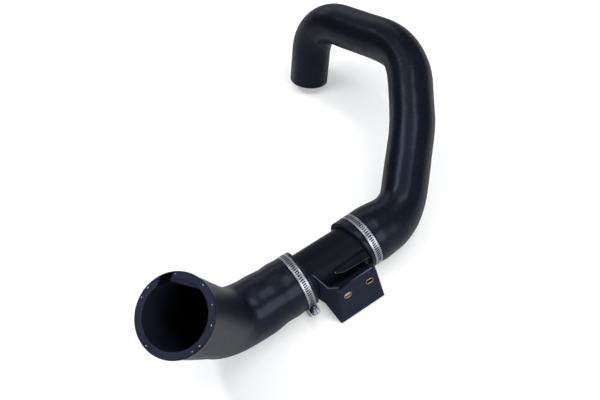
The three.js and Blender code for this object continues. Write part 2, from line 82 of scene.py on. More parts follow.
# Sizes of the rear hose
rear_bore = 42.0
rear_taper_length = 54.2
rear_lead_straight = 41.4
rear_bends = [
    # radius, angle, clock, and the straight that follows
    (61.0, 47.8, -53.3, 60.5),
    (176.0, 11.2, -102.1, 40.5),
    (92.0, 55.2, -95.6, 64.8),
    (54.0, 83.6, -140.3, 48.2),
]

# Sizes of the clamps
band_width = 9.0
band_thickness = 0.7
band_tail_angle = 30.0
band_ramp_angle = 18.0
slot_pitch = 2.6
slot_width = 1.2
slot_length = 4.4
slot_slant = 8.0
slotted_length = 122.0
band_inner_radius = cuff_radius - band_pinch + fit_gap
band_layer = band_thickness + fit_gap
housing_length = 12.0
worm_radius = 3.4
worm_overhang = 1.5
worm_height = band_inner_radius + 2 * band_layer + worm_radius
head_across_flats = 7.0
head_length = 5.0
collar_radius = 4.2
collar_thickness = 1.0
driver_slot_width = 1.1
driver_slot_depth = 2.0

# Sizes of the bracket
sheet_thickness = 2.5
bracket_clock = 32.4
bracket_centre = 42.7
fold_drop = 30.8
fold_standoff = 33.0
plate_slope = 43.0
plate_top_width = 47.0
gusset_clock = 62.0
mount_slot_spacing = 28.4
mount_slot_shift = -1.8
mount_slot_drop = 16.0
mount_slot_length = 10.0
mount_slot_width = 6.0
liner_thickness = 1.0
wing_fold = 53.0
fold_rounding = 2.4
fold_shortest = 20.0

# The attitude in which the part rests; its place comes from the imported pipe.
rest_roll = -1.73
rest_pitch = 0.343
rest_turn = Matrix.Rotation(math.radians(rest_pitch), 3, "Y") @ Matrix.Rotation(
    math.radians(rest_roll), 3, "X"
)
pipe_low, pipe_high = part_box("pipe")
pipe_middle = rest_turn @ Vector((pipe_visible_length / 2, 0, 0))
rest_place = (pipe_low + pipe_high) / 2 / MM - pipe_middle


def to_world(points):
    """Assembly points in mm as row-frame points in metres."""
    turned = np.asarray(points, float).reshape(-1, 3) @ np.array(rest_turn).T
    return (turned + np.array(rest_place)) * MM


# Materials


class Surface:
    """A material in the making, with its noise sizes and bump depths in millimetres."""

    def __init__(self, name):
        self.material = bpy.data.materials.new(name)
        self.material.use_nodes = True
        self.nodes = self.material.node_tree.nodes
        self.links = self.material.node_tree.links
        self.shader = self.nodes["Principled BSDF"]
        self.normal = None

    def place(self, source="Object", stretch=(1, 1, 1)):
        """Texture coordinates in millimetres."""
        coordinates = self.nodes.new("ShaderNodeTexCoord")
        mapping = self.nodes.new("ShaderNodeMapping")
        mapping.inputs["Scale"].default_value = [each / MM for each in stretch]
        self.links.new(coordinates.outputs[source], mapping.inputs["Vector"])
        return mapping.outputs["Vector"]

    def noise(self, size, detail=3.0, roughness=0.55, place=None):
        node = self.nodes.new("ShaderNodeTexNoise")
        node.inputs["Scale"].default_value = 1 / size
        node.inputs["Detail"].default_value = detail
        node.inputs["Roughness"].default_value = roughness
        self.links.new(self.place() if place is None else place, node.inputs["Vector"])
        return node.outputs["Fac"]

    def ranged(self, value, low, high, from_low=0.3, from_high=0.7):
        """A value, by default a noise's, spread over another range."""
        node = self.nodes.new("ShaderNodeMapRange")
        node.inputs["From Min"].default_value = from_low
        node.inputs["From Max"].default_value = from_high
        node.inputs["To Min"].default_value = low
        node.inputs["To Max"].default_value = high
        self.links.new(value, node.inputs["Value"])
        return node.outputs["Result"]

    def tint(self, value, dark, light):
        """Colours the surface between a dark and a light sRGB colour by a noise."""
        node = self.nodes.new("ShaderNodeMix")
        node.data_type = "RGBA"
        share, first, second = node.inputs[0], node.inputs[6], node.inputs[7]
        self.links.new(self.ranged(value, 0.0, 1.0), share)
        first.default_value = colour(*dark)
        second.default_value = colour(*light)
        self.feed("Base Color", node.outputs[2])

    def bump(self, height, depth):
        """Adds a bump of the given depth to those made before."""
        node = self.nodes.new("ShaderNodeBump")
        node.inputs["Distance"].default_value = depth * MM
        self.links.new(height, node.inputs["Height"])
        if self.normal is not None:
            self.links.new(self.normal, node.inputs["Normal"])
        self.normal = node.outputs["Normal"]
        self.feed("Normal", self.normal)

    def feed(self, socket, output):
        self.links.new(output, self.shader.inputs[socket])

    def set(self, socket, value):
        self.shader.inputs[socket].default_value = value


def colour(red, green, blue):
    """An sRGB colour, 0 to 255, as linear RGBA."""

    def linear(value):
        value /= 255
        return value / 12.92 if value <= 0.04045 else ((value + 0.055) / 1.055) ** 2.4

    return (linear(red), linear(green), linear(blue), 1.0)


cool_sheen = (0.62, 0.7, 1.0, 1.0)
# How much rougher rubber looks at a glance, where its fine grain hides its gloss
glance_dulling = 0.22


def rubber_material(name, dark, light, roughness, grain_depth, specular):
    surface = Surface(name)
    surface.tint(surface.noise(size=34, detail=4), dark, light)
    bloom = surface.noise(size=5, detail=5, roughness=0.65)
    glance = surface.nodes.new("ShaderNodeLayerWeight").outputs["Facing"]
    dulling = surface.ranged(glance, 0.0, glance_dulling, from_low=0.45, from_high=0.8)
    dulled = surface.nodes.new("ShaderNodeMath")
    surface.links.new(surface.ranged(bloom, *roughness), dulled.inputs[0])
    surface.links.new(dulling, dulled.inputs[1])
    surface.feed("Roughness", dulled.outputs["Value"])
    surface.bump(surface.noise(size=6.5, detail=2), depth=0.03)
    surface.bump(surface.noise(size=0.55, roughness=0.6), grain_depth)
    surface.set("Specular IOR Level", specular)
    surface.set("Specular Tint", cool_sheen)
    return surface.material


rubber = rubber_material(
    "rubber_moulded",
    (12, 15, 22),
    (16, 19, 28),
    roughness=(0.25, 0.3),
    grain_depth=0.004,
    specular=0.13,
)
rubber_cut = rubber_material(
    "rubber_cut",
    (29, 32, 45),
    (39, 42, 58),
    roughness=(0.55, 0.7),
    grain_depth=0.06,
    specular=0.12,
)
rubber_bore = rubber_material(
    "rubber_bore",
    (18, 20, 28),
    (24, 26, 36),
    roughness=(0.5, 0.62),
    grain_depth=0.04,
    specular=0.06,
)
# Near-black rubber on the floor of the torn pocket in the mouth's rim: painted shade, where no light
# reaches into the pocket.
rubber_torn_shade = rubber_material(
    "rubber_torn_shade",
    (4, 4, 5),
    (8, 8, 10),
    roughness=(0.75, 0.9),
    grain_depth=0.1,
    specular=0.02,
)


def paint_material(name, dark, light, roughness, specular):
    surface = Surface(name)
    surface.tint(surface.noise(size=22, detail=4), dark, light)
    patches = surface.noise(size=7, detail=4, roughness=0.6)
    surface.feed("Roughness", surface.ranged(patches, *roughness))
    surface.bump(surface.noise(size=1.3, detail=2), depth=0.05)
    surface.bump(surface.noise(size=0.3, detail=2), depth=0.012)
    surface.set("Specular IOR Level", specular)
    surface.set("Specular Tint", cool_sheen)
    return surface.material


pipe_paint = paint_material(
    "pipe_paint", (9, 11, 15), (13, 15, 21), roughness=(0.42, 0.52), specular=0.06
)
# The pipe's black paint, drawn lighter for the bracket: painted light on the plate that faces the front
# lamp.
plate_paint_lit = paint_material(
    "plate_paint_lit", (19, 21, 33), (24, 27, 41), roughness=(0.4, 0.5), specular=0.1
)
# A lighter, glossier paint for rounded edges that face the light: a painted highlight along them.
edge_highlight_paint = paint_material(
    "edge_highlight_paint", (66, 69, 84), (86, 90, 106), roughness=(0.25, 0.35), specular=0.4
)


def metal_material(name, dark, light, roughness, source="Object", stretch=(1, 1, 1)):
    """Metal with fine marks, drawn out along one direction where they are stretched."""
    surface = Surface(name)
    surface.tint(surface.noise(size=9, detail=4), dark, light)
    marks_place = surface.place(source, stretch)
    marks = surface.noise(size=0.35, detail=4, roughness=0.7, place=marks_place)
    surface.feed("Roughness", surface.ranged(marks, *roughness))
    surface.bump(marks, depth=0.006)
    surface.set("Metallic", 1.0)
    return surface.material


band_steel = metal_material(
    "stainless_band",
    (114, 117, 125),
    (136, 139, 147),
    roughness=(0.3, 0.42),
    source="UV",
    stretch=(0.04, 1, 1),
)
part_steel = metal_material(
    "stainless_stamped", (90, 92, 98), (108, 111, 117), roughness=(0.3, 0.44)
)
# Dark steel on the slot walls and rolled rims: painted shade that darkens the slots.
slot_shade_steel = metal_material(
    "stainless_slot_walls_painted_shade", (26, 28, 32), (38, 40, 45), roughness=(0.55, 0.7)
)
yellow_zinc = metal_material(
    "yellow_zinc", (140, 122, 84), (164, 146, 106), roughness=(0.35, 0.5)
)


def yarn_material():
    surface = Surface("yarn")
    fibre = surface.noise(size=0.18)
    surface.tint(fibre, (168, 166, 160), (222, 221, 216))
    surface.bump(fibre, depth=0.08)
    surface.set("Roughness", 0.85)
    return surface.material


yarn = yarn_material()

# Mesh making


def make_piece(name, points, faces, materials, face_materials=None, uvs=None):
    """A smooth-shaded piece from assembly points in mm, riding on the part."""
    mesh = bpy.data.meshes.new(name)
    mesh.from_pydata(to_world(points).tolist(), [], faces)
    for material in materials:
        mesh.materials.append(material)
    if face_materials is not None:
        mesh.polygons.foreach_set("material_index", face_materials)
    mesh.polygons.foreach_set("use_smooth", [True] * len(mesh.polygons))
    if uvs is not None:
        layer = mesh.uv_layers.new(name="UVMap")
        corners = np.zeros(len(mesh.loops), int)
        mesh.loops.foreach_get("vertex_index", corners)
        layer.data.foreach_set("uv", (np.asarray(uvs) * MM)[corners].ravel())
    mesh.update()
    piece = bpy.data.objects.new(name, mesh)
    bpy.context.scene.collection.objects.link(piece)
    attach(piece, "root")
    return piece


def square_up(piece, sharp_angle=None):
    """Faces outward, and creases where faces meet at more than sharp_angle degrees."""
    mesh = bmesh.new()
    mesh.from_mesh(piece.data)
    bmesh.ops.recalc_face_normals(mesh, faces=mesh.faces)
    if sharp_angle is not None:
        for edge in mesh.edges:
            if len(edge.link_faces) == 2:
                edge.smooth = edge.calc_face_angle() < math.radians(sharp_angle)
    mesh.to_mesh(piece.data)
    mesh.free()


def ring_faces(rows, sides, closed, start=0):
    """Faces between rows of points that each go once round. Closed, the last row meets the first."""
    faces = []
    for row in range(rows if closed else rows - 1):
        low = start + row * sides
        high = start + (row + 1) % rows * sides
        for side in range(sides):
            beside = (side + 1) % sides
            faces.append((low + side, high + side, high + beside, low + beside))
    return faces


def end_faces(rows, sides, start=0):
    """The flat faces over the first row and the last."""
    last = start + (rows - 1) * sides
    first_end = tuple(start + side for side in reversed(range(sides)))
    return [first_end, tuple(last + side for side in range(sides))]


class Line:
    """A chain of straights and bends. At any distance along it, its frame has X ahead."""

    def __init__(self, start, turned):
        self.end = np.array(start, float)
        self.frame = np.array(turned, float)
        self.length = 0.0
        self.legs = []

    def straight(self, length):
        self.add(length, None, 0.0)

    def bend(self, radius, angle, clock):
        self.add(radius * math.radians(angle), radius, math.radians(clock))

    def add(self, length, radius, clock):
        self.legs.append((self.length, length, radius, clock, self.end, self.frame))
        self.length += length
        along = np.array([[self.length, 0, 0], [self.length, 1, 0], [self.length, 0, 1]])
        end, side, up = self.lay(along)
        self.end = end
        side, up = side - end, up - end
        self.frame = np.array([np.cross(side, up), side, up]).T

    def lay(self, points):
        """Lays straight points, whose X is the distance travelled, along the line."""
        travelled = np.clip(points[:, 0], 0, self.length)
        beyond = points.copy()
        beyond[:, 0] -= travelled
        laid = np.empty_like(beyond)
        for leg_from, length, radius, clock, start, turned in self.legs:
            on = (travelled >= leg_from) & (travelled <= leg_from + length + 1e-6)
            ahead = travelled[on] - leg_from
            local = beyond[on]
            if radius is None:
                local = local + ahead[:, None] * np.array([1.0, 0, 0])
            else:
                side = np.array([0, -math.sin(clock), math.cos(clock)])
                axis = np.array([0, -math.cos(clock), -math.sin(clock)])
                angle = (ahead / radius)[:, None]
                along_axis = axis * (local @ axis)[:, None]
                local = (
                    local * np.cos(angle)
                    + np.cross(axis, local) * np.sin(angle)
                    + along_axis * (1 - np.cos(angle))
                    + radius * np.sin(angle) * np.array([1.0, 0, 0])
                    + radius * (1 - np.cos(angle)) * side
                )
            laid[on] = local @ turned.T + start
        return laid


def smoothly(value, stops):
    """Values that pass smoothly through (distance, value) stops."""
    value = np.asarray(value, float)
    result = np.full(value.shape, float(stops[0][1]))
    for (from_at, from_value), (to_at, to_value) in zip(stops, stops[1:]):
        share = np.clip((value - from_at) / (to_at - from_at), 0, 1)
        share = share * share * (3 - 2 * share)
        past = value >= from_at
        result = np.where(past, from_value + (to_value - from_value) * share, result)
    return result


# Hose walls

hose_sides = 192
clocks = (np.arange(hose_sides) * 360 / hose_sides)[None, :]
OUTSIDE, CUT, BORE, TORN_SHADE = 0, 1, 2, 3
hose_materials = [rubber, rubber_cut, rubber_bore, rubber_torn_shade]
corner = 0.6
cuff_length = hose_overlap + 8
cuff_step = 0.8


def stations(length, step):
    """Distances along a hose, close together over its cuff and even over the rest."""
    cuff = np.arange(0, cuff_length, cuff_step)
    count = math.ceil((length - cuff_length) / step)
    along = np.concatenate([cuff, np.linspace(cuff_length, length, count + 1)])
    return along[along > corner][:, None]

# The unevenness of a moulded wall: a slow sway, a slow twist and shallow dents
sway_height = 0.16
sway_length = 17.0
twist_height = 0.1
twist_length = 9.5
dent_height = 0.14
dent_length = 12.0
dents_round = 2.2
even_until = 20.0


def unevenness(distance, length, seed):
    """The slight hand-made unevenness of a moulded wall, in mm, which fades near its ends."""
    turn = np.radians(clocks)
    slow = sway_height * np.sin(distance / sway_length + seed) * np.cos(turn - 0.9 * seed)
    slow += twist_height * np.sin(distance / twist_length + 2 * turn + 2.1 * seed)
    dents = np.empty(np.broadcast(distance, clocks).shape)
    for index in np.ndindex(dents.shape):
        along = distance[index[0], 0] / dent_length
        around = turn[0, index[1]]
        across = dents_round * math.cos(around)
        up = dents_round * math.sin(around) + 9 * seed
        dents[index] = noise.noise(Vector((along, across, up)))
    fading = np.clip(distance / even_until - 1, 0, 1)
    fading = fading * np.clip((length - distance) / dent_length, 0, 1)
    return fading * (slow + dent_height * dents)


def wall_piece(name, line, rows, lean=None):
    """A hose from closed rows of (distance, radius, material), each one value or one a side."""
    ahead, radius, kinds = (
        np.array([np.broadcast_to(row[column], (1, hose_sides))[0] for row in rows])
        for column in range(3)
    )
    turn = np.radians(clocks)
    straight = np.stack([ahead, -radius * np.sin(turn), radius * np.cos(turn)], axis=-1)
    straight = straight.reshape(-1, 3)
    if lean is not None:
        straight = lean(straight)
    faces = ring_faces(len(rows), hose_sides, closed=True)
    face_materials = kinds.astype(int).ravel().tolist()
    piece = make_piece(name, line.lay(straight), faces, hose_materials, face_materials)
    square_up(piece, sharp_angle=40)
    return piece


# The line of the ply in a cut end: its place in the wall, and its groove as (offset, depth) points
ply_share = 0.64
ply_groove = ((0.55, 0), (0.3, 0.04), (0.1, 0.26), (-0.1, 0.26), (-0.3, 0.04), (-0.55, 0))
rim_steps = 4
cut_shows_from = math.radians(60)


def rim_rows(at, direction, bore, outer, rounding=corner, torn=None):
    """The cut end of a hose from its outer corner to its bore, with the ply line in it."""
    angles = [math.pi / 2 * step / rim_steps for step in range(rim_steps + 1)]
    rows = []
    for angle in angles[1:]:
        ahead = at + direction * rounding * (math.sin(angle) - 1)
        kind = OUTSIDE if angle < cut_shows_from else CUT
        rows.append((ahead, outer - rounding * (1 - math.cos(angle)), kind))
    ply = bore + (outer - bore) * ply_share
    for offset, depth in ply_groove:
        rows.append((at - direction * depth, ply + offset, CUT))
    for share in (0.4, 0.22):
        rows.append((at, bore + (outer - bore) * share, CUT))
    for angle in angles:
        ahead = at - direction * corner * (1 - math.cos(angle))
        rows.append((ahead, bore + corner * (1 - math.sin(angle)), CUT))
    if torn is None:
        return rows
    deepened = []
    for ahead, radius, kind in rows:
        depth = torn((radius - bore) / (outer - bore))
        # Faces sunk more than 1 mm into the pocket take the near-black rubber, painted shade.
        deepened.append((ahead - depth, radius, np.where(depth > 1, TORN_SHADE, kind)))
    return deepened


crease_rounding = 0.07
crease_sharpness = 2.5


def bend_crease(along, bend, outer, share):
    """How far the inside of a bend is drawn in, where its two straights nearly meet."""
    bend_from, bend_to, radius, clock = bend
    turned = np.clip(along - bend_from, 0, bend_to - bend_from) / radius
    half = (bend_to - bend_from) / radius / 2
    past = np.clip(half - np.hypot(half - turned, crease_rounding), 0, None)
    inward = np.clip(np.cos(np.radians(clocks - clock)), 0, 1) ** crease_sharpness
    return share * (radius - outer) * (1 / np.cos(past) - 1) * inward


half_band = band_width / 2
pinch_depth = band_pinch - fit_gap + 0.02
pinch_bulge = 0.12


def pinched(distance, setback):
    """How far the clamp presses a hose in, with the rubber standing up beside the band."""
    past_band = np.abs(distance - setback) - half_band
    return smoothly(past_band, [(0.2, pinch_depth), (2, -pinch_bulge), (6, 0)])


bead_centre = pipe_bead_setback + pipe_bead_width / 2
swell_middle = hose_overlap - bead_centre
swell_half = pipe_bead_width / 2 + fit_gap
swell_share = 0.7
swell_spread = 8.0
cuff_stops = [(0, cuff_bore), (hose_overlap + fit_gap, cuff_bore)]


def bead_swell(distance):
    """How far the bore stands out over the pipe's bead, and how much of it shows outside."""
    away = np.abs(distance - swell_middle)
    inside = pipe_bead_height * (1 - smoothly(away, [(0, 0), (swell_half, 1)]))
    outside = swell_share * pipe_bead_height * np.exp(-((away / swell_spread) ** 2))
    return inside, outside


# Front hose

front_line = Line((0, 0, 0), Matrix.Rotation(math.pi, 3, "Z"))
front_line.straight(front_lead_straight)
front_line.bend(front_bend_radius, front_bend_angle, front_bend_clock)
front_line.straight(front_mouth_straight)
mouth_start = front_line.length - front_mouth_straight
front_bend = (front_lead_straight, mouth_start, front_bend_radius, front_bend_clock)

front_crease = 0.8
mouth_roll = 0.8
mouth_roll_width = 5.0
mouth_rounding = 1.4
mouth_bore = front_mouth_bore / 2
mouth_outer = mouth_bore + front_mouth_wall + mouth_roll

# A torn pocket in the rim, and beside it a flap of the liner that is cut straight
tear_start_clock = 73.0
tear_lead = 13.0
tear_end_clock = 38.0
tear_slant = 8.0
tear_depth = 6.0
tear_reach = 0.9
tear_ramp = 9.0
flap_middle_clock = 19.0
flap_half_angle = 30.0
flap_edge = 0.7
flap_cut_depth = 1.2
flap_depth = 9.0
flap_root = 20.0
# Distances back from the rim at which the flap and the torn pocket are shaped
flap_stations = (0.8, 1.0, 1.2, 1.6, 2.5, 4.0, 6.0, 8.0)


def mouth_tear(share):
    """How deep the rim is torn round the hose, at this share of the wall from the bore."""
    start = tear_start_clock - tear_lead * share / tear_reach
    end = tear_end_clock + tear_slant * (1 - share)
    ramp = np.clip((start - clocks) / tear_ramp, 0, 1)
    return np.where((clocks > end) & (share < tear_reach), tear_depth * ramp, 0.0)


def liner_flap():
    """How far the flap stands into the mouth."""
    away = (clocks - flap_middle_clock + 180) % 360 - 180
    chord = mouth_bore * math.cos(math.radians(flap_half_angle)) / np.cos(np.radians(away))
    return np.where(np.abs(away) < flap_half_angle, mouth_bore - chord, 0.0)


def front_hose():
    length = front_line.length
    along = stations(length - mouth_rounding, step=2.0)
    bore = smoothly(
        along,
        [
            *cuff_stops,
            (front_lead_straight, front_bend_start_bore / 2),
            (mouth_start, front_bend_end_bore / 2),
            (length, mouth_bore),
        ],
    )
    wall = smoothly(along, [(mouth_start, hose_wall), (length, front_mouth_wall)])
    swell_in, swell_out = bead_swell(along)
    outer = bore + wall + swell_out - pinched(along, front_clamp_setback)
    from_rim = length - mouth_rounding - along
    outer = outer + mouth_roll * np.exp(-((from_rim / mouth_roll_width) ** 2))
    crease = bend_crease(along, front_bend, outer, front_crease)
    outer = outer - crease + unevenness(along, length, seed=1.0)
    bore = bore + swell_in - crease
    rows = [(at[0], radius, OUTSIDE) for at, radius in zip(along, outer)]
    rows += rim_rows(length, 1, mouth_bore, mouth_outer, mouth_rounding, mouth_tear)
    flap = liner_flap()
    for back in flap_stations:
        inwards = smoothly(back, [(flap_edge, 0), (flap_cut_depth, 1)])
        kind = np.where((flap > 0) & (back < flap_cut_depth), CUT, BORE)
        at = length - np.maximum(back, mouth_tear(0) + 0.05 * back)
        rows.append((at, mouth_bore - flap * inwards, kind))
    for at, radius in zip(along[::-1], bore[::-1]):
        back = length - at[0]
        if back > flap_depth:
            fold = flap * smoothly(back, [(flap_depth, 1), (flap_root, 0)])
            rows.append((at[0], radius - fold, BORE))
    rows += rim_rows(0, -1, cuff_bore, cuff_radius)[::-1]
    piece = wall_piece("front_hose_moulded", front_line, rows)
    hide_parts("front_hose")


front_hose()

# Rear hose

rear_line = Line((pipe_visible_length, 0, 0), np.eye(3))
rear_line.straight(rear_lead_straight)
bends = []
for radius, angle, clock, following in rear_bends:
    bend_from = rear_line.length
    rear_line.bend(radius, angle, clock)
    bends.append((bend_from, rear_line.length, radius, clock))
    rear_line.straight(following)

end_slope = math.tan(math.radians(rear_end_slant))
clamp_slope = math.tan(math.radians(rear_clamp_slant))
slant_turn = math.radians(rear_slant_clock)
slant_side = np.array([0, -math.sin(slant_turn), math.cos(slant_turn)])


def rear_lean(points):
    """Leans the hose's cut end, and less so the seat of its clamp."""
    slope = smoothly(
        points[:, 0],
        [
            (0, end_slope),
            (rear_clamp_setback - half_band, clamp_slope),
            (rear_clamp_setback + half_band, clamp_slope),
            (swell_middle - swell_half, 0),
        ],
    )
    leaned = points.copy()
    leaned[:, 0] += slope * (points @ slant_side)
    return leaned


# The bends that are creased on their inside, each with its share of a full crease
rear_creases = {2: 0.5, 3: 0.42}
# Shallow ripples past the start of the third bend
ripple_height = 0.05
ripple_pitch = 6.2
ripple_middle = bends[2][0] + 12
ripple_spread = 26.0


def rear_hose():
    length = rear_line.length
    along = stations(length - corner, step=2.2)
    taper_end = hose_overlap + rear_taper_length
    bore = smoothly(along, [*cuff_stops, (taper_end, rear_bore / 2)])
    swell_in, swell_out = bead_swell(along)
    outer = bore + hose_wall + swell_out - pinched(along, rear_clamp_setback)
    bore = bore + swell_in
    outer = outer + unevenness(along, length, seed=2.3)
    window = np.exp(-(((along - ripple_middle) / ripple_spread) ** 2))
    outer = outer + ripple_height * window * np.sin(2 * np.pi * along / ripple_pitch)
    for index, share in rear_creases.items():
        crease = bend_crease(along, bends[index], outer, share)
        outer = outer - crease
        bore = bore - crease
    rows = [(at[0], radius, OUTSIDE) for at, radius in zip(along, outer)]
    rows += rim_rows(length, 1, rear_bore / 2, rear_bore / 2 + hose_wall)
    rows += [(at[0], radius, BORE) for at, radius in zip(along[::-2], bore[::-2])]
    rows += rim_rows(0, -1, cuff_bore, cuff_radius)[::-1]
    piece = wall_piece("rear_hose_moulded", rear_line, rows, rear_lean)
    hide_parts("rear_hose")


rear_hose()

# Yarn ends in the cut mouth

yarn_clocks = [37, -10, -42, -71, -101, -113, 171, 83, 98]
yarn_sides = 10
# The rings of a frayed end, as (distance past the rim, size)
yarn_rings = ((-1.2, 0.9), (0.05, 1.0), (0.22, 0.85), (0.3, 0.4))


def yarn_ends():
    random.seed(4)
    ply = mouth_bore + (mouth_outer - mouth_bore) * ply_share
    points, faces = [], []
    for clock in yarn_clocks:
        angle = math.radians(clock + random.uniform(-1.5, 1.5))
        reach = ply + random.uniform(-0.25, 0.25)
        lean = random.uniform(-0.5, 0.5)
        long_side = random.uniform(0.55, 1.0)
        thick = random.uniform(0.26, 0.36)
        faces += ring_faces(len(yarn_rings), yarn_sides, closed=False, start=len(points))
        faces += end_faces(len(yarn_rings), yarn_sides, start=len(points))
        for ahead, size in yarn_rings:
            for side in range(yarn_sides):
                turn = 2 * math.pi * side / yarn_sides
                along_rim = long_side * size * math.cos(turn)
                radius = reach + thick * size * math.sin(turn) + lean * along_rim * 0.4
                ragged = 0.06 * math.sin(3 * turn + clock) if ahead > 0 else 0.0
                at = angle + along_rim / reach
                x = front_line.length + ahead + ragged
                points.append((x, -radius * math.sin(at), radius * math.cos(at)))
    piece = make_piece("yarn_ends", front_line.lay(np.array(points)), faces, [yarn])
    square_up(piece)


yarn_ends()

# Pipe

pipe_sides = 128
pipe_edge = 0.4


def pipe():
    start = -hose_overlap
    end = pipe_visible_length + hose_overlap
    beads = (start + bead_centre, end - bead_centre)
    near_beads = [bead + step for bead in beads for step in np.arange(-4, 4.1, 0.5)]
    along = np.unique(np.concatenate([np.arange(start + 0.5, end - pipe_edge, 3.0), near_beads]))
    along = along[(along > start + pipe_edge) & (along < end - pipe_edge)]
    away = np.min([np.abs(along - bead) for bead in beads], axis=0)
    lift = pipe_bead_height * (1 - smoothly(away, [(0, 0), (pipe_bead_width / 2, 1)]))
    outer = [(x, pipe_radius + up) for x, up in zip(along, lift)]
    inner = [(x, radius - pipe_wall) for x, radius in reversed(outer)]
    far = [
        (end - 0.1, pipe_radius - 0.1),
        (end, pipe_radius - pipe_edge),
        (end, inner[0][1] + 0.3),
    ]
    near = [
        (start, inner[-1][1] + 0.3),
        (start, pipe_radius - pipe_edge),
        (start + 0.1, pipe_radius - 0.1),
    ]
    profile = outer + far + inner + near
    turn = 2 * np.pi * np.arange(pipe_sides) / pipe_sides
    points = [(x, -r * math.sin(t), r * math.cos(t)) for x, r in profile for t in turn]
    faces = ring_faces(len(profile), pipe_sides, closed=True)
    piece = make_piece("pipe_painted", points, faces, [pipe_paint])
    square_up(piece, sharp_angle=40)
    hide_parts("pipe")


pipe()

# Clamps
# A clamp is built round Z with its housing on X, and then turned to lie round the hose.


def upright(x, slope):
    """Turns a clamp's Z to the pipe's X, and leans it back on the slanted side."""
    turned = Matrix(((0, 0, 1), (0, -1, 0), (1, 0, 0))).to_4x4()
    shear = Matrix.Identity(4)
    shear[0][1] = slope * slant_side[1]
    shear[0][2] = slope * slant_side[2]
    return Matrix.Translation((x, 0, 0)) @ shear @ turned


def moved(points, matrix):
    points = np.asarray(points, float)
    matrix = np.array(matrix)
    return points @ matrix[:3, :3].T + matrix[:3, 3]


# The index of the dark steel, painted shade, on the slot walls and rims
SLOT_SHADE = 1


class Sheet:
    """Faces of (u, v, height) points, with points that coincide shared."""

    def __init__(self):
        self.points = []
        self.known = {}
        self.faces = []
        self.kinds = []

    def point(self, u, v, height):
        key = (round(u, 3), round(v, 3), round(height, 3))
        if key not in self.known:
            self.known[key] = len(self.points)
            self.points.append((u, v, height))
        return self.known[key]

    def face(self, corners, kind=0):
        self.faces.append([self.point(*corner) for corner in corners])
        self.kinds.append(kind)

    def strip(self, first, first_height, second, second_height, kind=0):
        """Faces between two outlines of (u, v) points at their own heights."""
        for index in range(len(first)):
            after = (index + 1) % len(first)
            low = [(*first[index], first_height), (*first[after], first_height)]
            high = [(*second[after], second_height), (*second[index], second_height)]
            self.face(low + high, kind)


edge_round = 0.16
slot_round = 0.14
flat_half = band_width / 2 - edge_round
# Where the sides of a tile and of a slot are cut, and into how many steps their ends are
tile_level = 2.4
slot_level = 0.9
end_steps = 4

edge_drop = edge_round * (1 - math.cos(math.pi / 4))
edge_out = flat_half + edge_round * math.sin(math.pi / 4)
# The band's rounded edge as (v, height) points, from its outer face to its inner one
edge_points = [
    (flat_half, band_thickness),
    (edge_out, band_thickness - edge_drop),
    (band_width / 2, band_thickness - edge_round),
    (band_width / 2, edge_round),
    (edge_out, edge_drop),
    (flat_half, 0.0),
]


def slot_outline(middle, inset):
    """A slanted stadium round a slot, as (u, v) points from its lower left, turning left."""
    radius = slot_width / 2 - inset
    straight = (slot_length - slot_width) / 2
    outline = []
    for end in (-1, 1):
        for step in range(end_steps + 1):
            angle = math.pi * step / end_steps
            v = straight + radius * math.sin(angle)
            outline.append((end * radius * math.cos(angle), end * v))
        outline += [(-end * radius, end * v) for v in (slot_level, 0.0, -slot_level)]
    lean = math.tan(math.radians(slot_slant))
    return [(middle + u - v * lean, v) for u, v in outline]


def tile_outline(u_from, u_to):
    """The rectangle of one pitch as (u, v) points that match a slot's, one for one."""
    middle, half = (u_from + u_to) / 2, (u_to - u_from) / 2
    outline = []
    for end in (-1, 1):
        for step in range(end_steps + 1):
            outline.append((middle + end * half * (1 - 2 * step / end_steps), end * flat_half))
        outline += [(middle - end * half, end * v) for v in (tile_level, 0.0, -tile_level)]
    return outline


def slotted_tile(sheet, u_from, u_to):
    tile = tile_outline(u_from, u_to)
    middle = (u_from + u_to) / 2
    mouth = slot_outline(middle, 0.0)
    between = slot_outline(middle, -0.35 * slot_round)
    rolled = slot_outline(middle, -slot_round)
    # The rolled rims and walls of a slot take the dark steel, painted shade in the slot.
    for height, inwards in ((band_thickness, -slot_round), (0.0, slot_round)):
        half_in = height + 0.3 * inwards
        sheet.strip(tile, height, rolled, height)
        sheet.strip(rolled, height, between, half_in, SLOT_SHADE)
        sheet.strip(between, half_in, mouth, height + inwards, SLOT_SHADE)
    sheet.strip(mouth, band_thickness - slot_round, mouth, slot_round, SLOT_SHADE)


def band_run(sheet, u_from, u_to, section):
    """Faces that run along one pitch, between points of the band's section as (v, height)."""
    along = np.linspace(u_from, u_to, end_steps + 1)
    for u_low, u_high in zip(along, along[1:]):
        for low, high in zip(section, section[1:]):
            sheet.face([(u_low, *low), (u_high, *low), (u_high, *high), (u_low, *high)])


def band_sheet():
    """The band laid flat: u along it and v across it, with its slots cut and edges rounded."""
    sheet = Sheet()
    full = math.radians(360 + band_tail_angle) * band_inner_radius
    slot_count = int(slotted_length / slot_pitch)
    slotted_from = full - (slot_count + 0.5) * slot_pitch
    plain_count = round(slotted_from / slot_pitch)
    cuts = [*np.linspace(0, slotted_from, plain_count + 1)]
    cuts += [slotted_from + slot_pitch * step for step in range(1, slot_count + 1)]
    cuts.append(full)
    levels = (-flat_half, -tile_level, 0.0, tile_level, flat_half)
    for index, (u_from, u_to) in enumerate(zip(cuts, cuts[1:])):
        if plain_count <= index < plain_count + slot_count:
            slotted_tile(sheet, u_from, u_to)
        else:
            for height in (band_thickness, 0.0):
                band_run(sheet, u_from, u_to, [(v, height) for v in levels])
        for side in (-1, 1):
            band_run(sheet, u_from, u_to, [(side * v, height) for v, height in edge_points])
    section = [(v, 0.0) for v in levels[1:-1]]
    section += reversed(edge_points)
    section += [(v, band_thickness) for v in reversed(levels[1:-1])]
    section += [(-v, height) for v, height in edge_points]
    for u in (0.0, full):
        sheet.face([(u, *each) for each in section])
    return sheet


flat_band = band_sheet()


